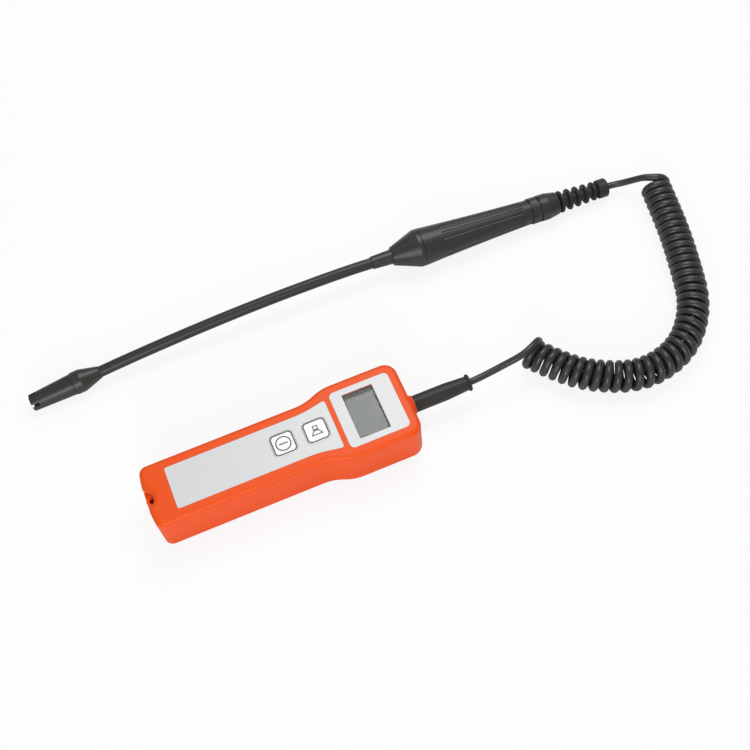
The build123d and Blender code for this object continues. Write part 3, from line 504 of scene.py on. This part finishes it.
# %% Outlines and symbols
ink_height = 0.04 * MM
ink_sink = 0.005 * MM
outline_outer = rounded_loop(6.9, 6.9, 2.6)
outline_inner = rounded_loop(6.05, 6.05, 1.9)
power_ring = [round_loop(4.75), round_loop(4.05)]
power_bar = [(-0.35, -2.7), (0.35, -2.7), (0.35, 2.7), (-0.35, 2.7)]
horn = [(-3.4, -1.6), (-0.4, -1.6), (2.9, -3.7), (2.9, 3.7), (-0.4, 1.6), (-3.4, 1.6)]
horn_box_hole = [(-2.8, -1.0), (-1.0, -1.0), (-1.0, 1.0), (-2.8, 1.0)]
horn_mouth_hole = [(0.2, -1.3), (2.3, -2.6), (2.3, 2.6), (0.2, 1.3)]

for key, symbol in (
    ("power_key", power_ring + [power_bar]),
    ("tone_key", [horn, horn_box_hole, horn_mouth_hole]),
):
    key_low, key_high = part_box(key)
    centre = middle_of(key_low, key_high)
    for part, loops in (("outline", [outline_outer, outline_inner]), ("symbol", symbol)):
        flat_shape(
            f"{key}_{part}", loops, centre, key_high.z - ink_sink, ink_height,
            "key_ink", key,
        )
    print("printed", key, "at", [round(v / MM, 1) for v in centre], round(key_high.z / MM, 2))

# %% [markdown]
# ## The gasket round the display, dark as painted shade
# A thin dark gasket closes the slit between the display and its window, so that the inside of
# the housing does not show beside the display. Its dark grey is also painted shade: it stands in
# for the shade on the walls of the opening round the display. Its height comes from the two
# solids that it lies between.

# %% Gasket
opening_margin = 1.4 * MM
gasket_gap = 0.05 * MM
# The outlines of flat shapes are in mm.
gasket_wall = 0.3
gasket_corner = 0.7
glass_low, glass_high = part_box("display_window")
gasket_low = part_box("lcd_module")[1].z + gasket_gap
gasket_height = glass_low.z - gasket_gap - gasket_low
half_x = (glass_high.x - glass_low.x) / 2 - opening_margin
half_y = (glass_high.y - glass_low.y) / 2 - opening_margin
gasket_loops = [
    rounded_loop(half_x / MM - inset, half_y / MM - inset, gasket_corner)
    for inset in (0.0, gasket_wall)
]
# The gasket's dark grey finish is painted shade for the shaded walls round the display.
flat_shape(
    "display_gasket_shade", gasket_loops, middle_of(glass_low, glass_high), gasket_low, gasket_height,
    "soft_black", "instrument",
)
print("gasket", round(2 * half_x / MM, 1), "by", round(2 * half_y / MM, 1), "mm")

# %% [markdown]
# ## The gooseneck's sheath
# Under its smooth black sheath the real neck is a bendable metal hose. The solids stand in for
# it with ball-ended spans, one joint between each two. The sheath is a tube along a soft curve,
# so a node tree that trims the curve and sweeps a ring along it suits it well. One tube per
# joint runs from the middle of one span to the middle of the next, curved across that joint.

# %% Trees that make geometry
def new_tree(name, numbers, works_on_geometry=False):
    """A geometry tree whose inputs are these numbers and a material.

    Returns the tree, its two end nodes, and the identifier of each input socket.
    """
    tree = bpy.data.node_groups.new(name, "GeometryNodeTree")
    face = tree.interface
    if works_on_geometry:
        face.new_socket("Geometry", in_out="INPUT", socket_type="NodeSocketGeometry")
    sockets = {}
    for socket, value in numbers.items():
        made = face.new_socket(socket, in_out="INPUT", socket_type="NodeSocketFloat")
        made.default_value = value
        sockets[socket] = made.identifier
    made = face.new_socket("Material", in_out="INPUT", socket_type="NodeSocketMaterial")
    sockets["Material"] = made.identifier
    face.new_socket("Geometry", in_out="OUTPUT", socket_type="NodeSocketGeometry")
    return tree, tree.nodes.new("NodeGroupInput"), tree.nodes.new("NodeGroupOutput"), sockets


def sweep_ring(tree, path, ring):
    """A closed tube: a ring swept along a path."""
    sweep = tree.nodes.new("GeometryNodeCurveToMesh")
    sweep.inputs["Fill Caps"].default_value = True
    tree.links.new(path, sweep.inputs["Curve"])
    tree.links.new(ring.outputs["Curve"], sweep.inputs["Profile Curve"])
    return sweep.outputs["Mesh"]


def new_ring(tree, radius, corners):
    """A round profile whose radius comes from a socket."""
    ring = tree.nodes.new("GeometryNodeCurvePrimitiveCircle")
    ring.inputs["Resolution"].default_value = corners
    tree.links.new(radius, ring.inputs["Radius"])
    return ring


def put_out(tree, inputs, outputs, geometry):
    """Make the geometry real, give it its material, and hand it out of the tree."""
    whole = tree.nodes.new("GeometryNodeRealizeInstances")
    paint = tree.nodes.new("GeometryNodeSetMaterial")
    tree.links.new(geometry, whole.inputs["Geometry"])
    tree.links.new(whole.outputs["Geometry"], paint.inputs["Geometry"])
    tree.links.new(inputs.outputs["Material"], paint.inputs["Material"])
    tree.links.new(paint.outputs["Geometry"], outputs.inputs["Geometry"])


def grow_mesh(name, carrier_data, tree, sockets, values):
    """Run a tree on a piece of data and return the plain mesh that it makes."""
    carrier = put_in_scene(name + "_carrier", carrier_data)
    modifier = carrier.modifiers.new("grow", "NODES")
    modifier.node_group = tree
    for socket, value in values.items():
        modifier[sockets[socket]] = value
    carrier.update_tag()
    mesh = take_mesh(carrier)
    mesh.name = name
    return mesh


# %% A tree that sweeps part of a curve
neck_radius = 3.55 * MM
sheath_spacing = 1.2 * MM
sheath_corners = 40


def make_tube_tree():
    """Geometry nodes: trim a curve between two lengths and sweep a ring along it."""
    tree, inputs, outputs, sockets = new_tree(
        "sheath tube", {"Start": 0.0, "End": 0.1, "Radius": 0.003, "Spacing": 0.0012},
        works_on_geometry=True,
    )
    nodes, links = tree.nodes, tree.links
    trim = nodes.new("GeometryNodeTrimCurve")
    trim.mode = "LENGTH"
    steps = nodes.new("GeometryNodeResampleCurve")
    steps.mode = "LENGTH"
    smooth = nodes.new("GeometryNodeSetShadeSmooth")
    links.new(inputs.outputs["Geometry"], trim.inputs["Curve"])
    links.new(inputs.outputs["Start"], trim.inputs[4])
    links.new(inputs.outputs["End"], trim.inputs[5])
    links.new(trim.outputs["Curve"], steps.inputs["Curve"])
    links.new(inputs.outputs["Spacing"], steps.inputs["Length"])
    ring = new_ring(tree, inputs.outputs["Radius"], sheath_corners)
    tube = sweep_ring(tree, steps.outputs["Curve"], ring)
    links.new(tube, smooth.inputs["Geometry"])
    put_out(tree, inputs, outputs, smooth.outputs["Geometry"])
    return tree, sockets


tube_tree, tube_sockets = make_tube_tree()

# %% The neck's centre line and its six tubes
neck_joints = [j for j in frame["joints"] if j["name"].startswith("gooseneck")]
neck_points = [Vector(j["pos_m"]) for j in neck_joints]
root_dir = Vector((-0.03133, -0.998675, 0.040677))
head_place = Vector((-0.1049, -0.0847, 0.00857354))
head_dir = Vector((0.041802, -0.997364, -0.059306))
# Stations along the first and the last direction, in mm: inside the nose cone and the boot.
root_stations = (30, 15)
head_overlap = 5.5


def neck_curve():
    """A smooth curve through the joints, from inside the nose cone to inside the boot."""
    line = [neck_points[0] - root_dir * station * MM for station in root_stations]
    line += neck_points
    line += [head_place, head_place + head_dir * head_overlap * MM]
    curve = bpy.data.curves.new("neck line", "CURVE")
    curve.dimensions = "3D"
    curve.resolution_u = 24
    spline = curve.splines.new("BEZIER")
    spline.bezier_points.add(len(line) - 1)
    for point, place in zip(spline.bezier_points, line):
        point.co = place
        point.handle_left_type = "AUTO"
        point.handle_right_type = "AUTO"
    return curve, line


def length_to(place, stations):
    """Length along the stations up to the point nearest to place."""
    nearest, found, run = math.inf, 0.0, 0.0
    for a, b in zip(stations[:-1], stations[1:]):
        share = max(0.0, min(1.0, (place - a).dot(b - a) / (b - a).length_squared))
        near = a + (b - a) * share
        if (place - near).length < nearest:
            nearest = (place - near).length
            found = run + (b - a).length * share
        run += (b - a).length
    return found


neck_line, neck_stations = neck_curve()
# Each tube runs over this length on both sides of its joint.
middles = [(a + b) / 2 for a, b in zip(neck_points[:-1], neck_points[1:])]
cuts = [neck_stations[0]] + middles + [neck_stations[-1]]
spans = [f"gooseneck_span_{index}" for index in range(1, 6)]
chain = ["instrument"] + spans + ["sensor_head"]
replaced = [("gooseneck_root_end",)] + [(span,) for span in spans]
replaced[-1] = ("gooseneck_span_5", "gooseneck_head_end")
for index, joint in enumerate(neck_joints):
    name = f"neck_sheath_{index + 1}"
    mesh = grow_mesh(name, neck_line.copy(), tube_tree, tube_sockets, {
        "Start": length_to(cuts[index], neck_stations),
        "End": length_to(cuts[index + 1], neck_stations),
        "Radius": neck_radius,
        "Spacing": sheath_spacing,
        "Material": finish["neck_sheath"],
    })
    sheath = closed_piece(name, mesh)
    centre = neck_points[index]
    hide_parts(*replaced[index])
    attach(sheath, chain[index])
    sheath.parent = None
    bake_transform(sheath)
    print(sheath.name, len(mesh.polygons), "faces across", joint["name"])

# %% [markdown]
# ## The bend protector
# The solid has thick fins, which a checker can measure. The real fins are thin at the rim and
# thicker at the core, so the protector is turned again here from one profile. A profile turned
# in a loop gives exact rings, and its sharp edges are marked by their angle.

# %% Turned pieces
def turned_mesh(name, profile, place, along, steps=64):
    """A closed solid of revolution from (radius, station) points in mm, along an axis."""
    along = along.normalized()
    side = along.cross(UP).normalized()
    up = side.cross(along)
    form = bmesh.new()
    rings = []
    for radius, station in profile:
        middle = place + along * station * MM
        ring = []
        for step in range(steps if radius > 0 else 1):
            turn = 2 * math.pi * step / steps
            out = side * math.cos(turn) + up * math.sin(turn)
            ring.append(form.verts.new(middle + out * radius * MM))
        rings.append(ring)
    for first, second in zip(rings[:-1], rings[1:]):
        for step in range(steps):
            corners = []
            for ring, index in ((first, step), (first, step + 1), (second, step + 1), (second, step)):
                corner = ring[index % len(ring)]
                if corner not in corners:
                    corners.append(corner)
            form.faces.new(corners)
    bmesh.ops.recalc_face_normals(form, faces=form.faces)
    mesh = bpy.data.meshes.new(name)
    form.to_mesh(mesh)
    form.free()
    mesh.shade_smooth()
    mesh.set_sharp_from_angle(angle=math.radians(38))
    return mesh


# %% The protector's profile, in mm
protector_length = 35.5
plug_length = 6.0
plug_radius = 4.6
fin_count = 5
first_fin = 2.6
fin_pitch = 5.8
rim_radius = 7.25
rim_drop = 0.27
core_radius = 4.3
core_drop = 0.18
foot_half = 1.45
shoulder_half = 0.95
rim_half = 0.5
shoulder_drop = 0.45
throat_radius = 3.4
end_collar_start = 28.9
end_collar_radius = 6.2
end_collar_bevel = 0.6
end_face_radius = 5.7


def protector_profile():
    """Core, five fins that get smaller, and the plain collar at the end."""
    points = [(0, -plug_length), (plug_radius, -plug_length), (plug_radius, 0.0)]
    for index in range(fin_count):
        middle = first_fin + fin_pitch * index
        rim = rim_radius - rim_drop * index
        core = core_radius - core_drop * index
        half = [
            (core, foot_half), (rim - shoulder_drop, shoulder_half), (rim, rim_half),
        ]
        points += [(radius, middle - station) for radius, station in half]
        points += [(radius, middle + station) for radius, station in reversed(half)]
    points += [
        (throat_radius, end_collar_start),
        (end_face_radius, end_collar_start),
        (end_collar_radius, end_collar_start + end_collar_bevel),
        (end_collar_radius, protector_length - end_collar_bevel),
        (end_face_radius, protector_length),
        (0, protector_length),
    ]
    return points


# %% The protector in its place
handle_dir = -root_dir
probe_exit = Vector((-100.0729, 264.9263, 7.00085)) * MM
protector_root = probe_exit - handle_dir * protector_length * MM
protector_mesh = turned_mesh(
    "bend_protector_turned", protector_profile(), protector_root, handle_dir
)
protector_mesh.materials.append(finish["soft_black"])
protector = put_in_scene("bend_protector_turned", protector_mesh)
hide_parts("bend_protector")
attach(protector, "instrument")
print("protector from", [round(v / MM, 1) for v in protector_root], "mm")

# %% [markdown]
# ## The gauze in the tip
# Gas reaches the sensor through a disc of woven wire. A weave follows a rule, so a node tree
# makes it: parallel wires on a line, each cut to the disc's width, raised and lowered as a
# cosine at its crossings, and the same set again across them with the opposite sign.

# %% A tree that weaves a round disc of wire
# The outermost wires stay within this share of the radius, where they still have some length.
disc_share = 0.98
wire_steps = 60
wire_corners = 8
wire_clearance = 1.05


def make_gauze_tree():
    """Geometry nodes: two sets of round wires that pass over and under one another."""
    tree, inputs, outputs, sockets = new_tree(
        "wire gauze", {"Radius": 0.004, "Pitch": 0.0006, "Wire Radius": 0.00012}
    )
    nodes, links = tree.nodes, tree.links
    radius, pitch = inputs.outputs["Radius"], inputs.outputs["Pitch"]
    wire_radius = inputs.outputs["Wire Radius"]

    def calculate(operation, *values):
        return math_node(tree, operation, *values)

    half_count = calculate(
        "FLOOR", calculate("DIVIDE", calculate("MULTIPLY", radius, disc_share), pitch)
    )
    line_start = calculate("MULTIPLY", calculate("MULTIPLY", half_count, pitch), -1.0)
    wires = nodes.new("GeometryNodeMeshLine")
    links.new(calculate("MULTIPLY_ADD", half_count, 2.0, 1.0), wires.inputs["Count"])
    for socket, value in (("Start Location", line_start), ("Offset", pitch)):
        along_x = nodes.new("ShaderNodeCombineXYZ")
        links.new(value, along_x.inputs["X"])
        links.new(along_x.outputs[0], wires.inputs[socket])
    wire = nodes.new("GeometryNodeCurvePrimitiveLine")
    wire.inputs["Start"].default_value = (0, -1, 0)
    wire.inputs["End"].default_value = (0, 1, 0)
    spot = nodes.new("GeometryNodeInputPosition")
    spot_parts = nodes.new("ShaderNodeSeparateXYZ")
    links.new(spot.outputs[0], spot_parts.inputs[0])
    off_middle = calculate("POWER", spot_parts.outputs["X"], 2.0)
    half_width = calculate(
        "SQRT", calculate("SUBTRACT", calculate("POWER", radius, 2.0), off_middle)
    )
    stretch = nodes.new("ShaderNodeCombineXYZ")
    stretch.inputs["X"].default_value = 1.0
    stretch.inputs["Z"].default_value = 1.0
    links.new(half_width, stretch.inputs["Y"])
    placed = nodes.new("GeometryNodeInstanceOnPoints")
    links.new(wires.outputs[0], placed.inputs["Points"])
    links.new(wire.outputs[0], placed.inputs["Instance"])
    links.new(stretch.outputs[0], placed.inputs["Scale"])
    straight = nodes.new("GeometryNodeRealizeInstances")
    links.new(placed.outputs[0], straight.inputs[0])
    fine = nodes.new("GeometryNodeResampleCurve")
    fine.mode = "COUNT"
    fine.inputs["Count"].default_value = wire_steps
    links.new(straight.outputs[0], fine.inputs["Curve"])
    across = calculate("ADD", spot_parts.outputs["X"], spot_parts.outputs["Y"])
    wave = calculate("COSINE", calculate("MULTIPLY", calculate("DIVIDE", across, pitch), math.pi))
    rise = calculate("MULTIPLY", wave, calculate("MULTIPLY", wire_radius, wire_clearance))
    joined = nodes.new("GeometryNodeJoinGeometry")
    ring = new_ring(tree, wire_radius, wire_corners)
    for sign, quarter in ((1.0, 0.0), (-1.0, math.pi / 2)):
        lift = nodes.new("ShaderNodeCombineXYZ")
        links.new(calculate("MULTIPLY", rise, sign), lift.inputs["Z"])
        woven = nodes.new("GeometryNodeSetPosition")
        links.new(fine.outputs[0], woven.inputs["Geometry"])
        links.new(lift.outputs[0], woven.inputs["Offset"])
        turned = nodes.new("GeometryNodeTransform")
        turned.inputs["Rotation"].default_value = (0, 0, quarter)
        links.new(woven.outputs[0], turned.inputs["Geometry"])
        links.new(sweep_ring(tree, turned.outputs[0], ring), joined.inputs[0])
    put_out(tree, inputs, outputs, joined.outputs[0])
    return tree, sockets


gauze_tree, gauze_sockets = make_gauze_tree()

# %% The gauze on its filter, at a station in mm from the head's root
gauze_station = 39.2
gauze_mesh = grow_mesh(
    "gauze", bpy.data.meshes.new("gauze seed"), gauze_tree, gauze_sockets, {
        "Radius": 4.1 * MM,
        "Pitch": 0.62 * MM,
        "Wire Radius": 0.13 * MM,
        "Material": finish["filter_mesh"],
    },
)
gauze_side = head_dir.cross(UP).normalized()
gauze_up = gauze_side.cross(head_dir).normalized()
gauze_turn = Matrix((gauze_side, gauze_up, head_dir.normalized())).transposed().to_4x4()
gauze_place = head_place + head_dir * gauze_station * MM
gauze_mesh.transform(Matrix.Translation(gauze_place) @ gauze_turn)
gauze = closed_piece("gauze", gauze_mesh)
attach(gauze, "sensor_head")
print("gauze", len(gauze_mesh.polygons), "faces")

# %% [markdown]
# ## The curly cord
# A curly cord is one round cord wound on a rod and set with heat, with a straight tail at each
# end. Its place comes from the same route as its solids. The route is a smooth curve, read back
# as a chain of points with no thickness. The helix then winds round that chain, sixteen points
# to the turn, and runs on into the two tails, so the whole cord is one spline.

# %% The route of the winding, in mm
winding_height = 10.1
winding_route = [
    (-8.5, 162.5), (12.2, 177.6), (25.7, 194.4), (35.4, 217.1), (32.7, 240.4), (22.0, 258.2),
    (2.6, 272.7), (-21.6, 279.9), (-46.4, 286.3), (-69.4, 290.4), (-88.4, 293.5),
]


def smooth_spline(curve, points):
    """A NURBS spline of order 3 with these control points, in metres."""
    spline = curve.splines.new("NURBS")
    spline.points.add(len(points) - 1)
    for point, place in zip(spline.points, points):
        point.co = (*place, 1.0)
    spline.order_u = 3
    spline.use_endpoint_u = True
    return spline


def read_line(points, resolution):
    """The points of a smooth spline, as a curve with no thickness gives them."""
    curve = bpy.data.curves.new("route", "CURVE")
    curve.dimensions = "3D"
    curve.resolution_u = resolution
    smooth_spline(curve, points)
    return [vertex.co.copy() for vertex in take_mesh(put_in_scene("route", curve)).vertices]


route_line = read_line(in_metres((x, y, winding_height) for x, y in winding_route), 32)
route_runs = [0.0]
for a, b in zip(route_line[:-1], route_line[1:]):
    route_runs.append(route_runs[-1] + (b - a).length)
print("winding runs", round(route_runs[-1] / MM, 1), "mm along its middle")

# %% Winding round the route
winding_radius = 7.5 * MM
winding_steps = 16
winding_turns = 39.25
# Turns and their pitch, from the instrument's end to the probe's end.
winding_pitches = [(10, 5.85 * MM), (14, 6.15 * MM), (16, 5.32 * MM)]
first_run = 4.2 * MM
lead_in_pitch = 1.6 * MM
# A spline of order 3 runs inside its control points, which stand a little further out for it.
control_share = 0.981


def along_route(run):
    """Point and direction at a length along the route."""
    run = max(0.0, min(route_runs[-1] - 1e-9, run))
    index = max(i for i in range(len(route_runs) - 1) if route_runs[i] <= run)
    share = (run - route_runs[index]) / (route_runs[index + 1] - route_runs[index])
    a, b = route_line[index], route_line[index + 1]
    before = route_line[max(0, index - 3)]
    after = route_line[min(len(route_line) - 1, index + 4)]
    return a.lerp(b, share), (after - before).normalized()


def winding_point(turn, run):
    """A point of the helix: turn counts from the winding's right side, over its top."""
    place, along = along_route(run)
    side = along.cross(UP).normalized()
    angle = 2 * math.pi * turn
    control = winding_radius / control_share
    return place + control * (side * math.cos(angle) + UP * math.sin(angle))


def run_of(turn):
    """Length along the route at a turn: the pitch is wider where the winding bends."""
    run = first_run
    for turns, pitch in winding_pitches:
        part = min(turn, turns)
        run += part * pitch
        turn -= part
    return run


def winding_points():
    """The helix. It starts half a turn early, on its left side, below the tail that crosses it."""
    points = []
    for step in range(winding_steps // 2):
        turn = step / winding_steps - 0.5
        points.append(winding_point(turn, first_run - turn * lead_in_pitch))
    for step in range(round(winding_turns * winding_steps) + 1):
        turn = step / winding_steps
        points.append(winding_point(turn, run_of(turn)))
    return points


# %% The two tails, and one spline through all
cord_radius = 2.3 * MM
# The photograph shows the cord thicker where it is wound and thinner where it is drawn straight.
winding_swell = 1.12
tail_draw = 0.94
unit_exit = Vector((0, 121.0, 16.0)) * MM
unit_tail = [unit_exit] + in_metres((
    (0, 124.5, 16.0), (-0.4, 131.5, 16.5), (-0.7, 139.0, 17.6), (-0.85, 146.0, 19.2),
    (-0.7, 152.0, 21.0), (-1.1, 157.5, 22.6), (-3.1, 163.4, 23.4), (-6.3, 168.6, 21.6),
    (-9.1, 171.8, 16.0),
))
probe_tail = in_metres((
    (-90.6, 287.0, 16.4), (-92.9, 283.4, 13.8), (-95.3, 279.6, 11.0), (-97.9, 274.6, 8.0),
    (-99.85, 270.0, 6.9),
)) + [probe_exit]
wound = winding_points()
cord_points = unit_tail + wound + probe_tail
for turn in (0, 10, 24, winding_turns):
    print("turn", turn, "at", round(run_of(turn) / MM, 1), "mm")

cord_curve = bpy.data.curves.new("curly_cord", "CURVE")
cord_curve.dimensions = "3D"
cord_curve.resolution_u = 2
cord_curve.bevel_depth = cord_radius
cord_curve.bevel_resolution = 3
cord_curve.use_fill_caps = True
cord_spline = smooth_spline(cord_curve, cord_points)
for index, point in enumerate(cord_spline.points):
    in_winding = len(unit_tail) <= index < len(unit_tail) + len(wound)
    point.radius = winding_swell if in_winding else tail_draw
cord_curve.materials.append(finish["cord_black"])
curly_cord = put_in_scene("curly_cord", cord_curve)

cord_line = read_line(cord_points, 4)
cord_length = sum((b - a).length for a, b in zip(cord_line[:-1], cord_line[1:]))
print("cord", round(cord_length, 3), "m, drawn out of its winding")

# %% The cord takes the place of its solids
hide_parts("cord_unit_tail", "cord_coil", "cord_probe_tail")
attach(curly_cord, "instrument")
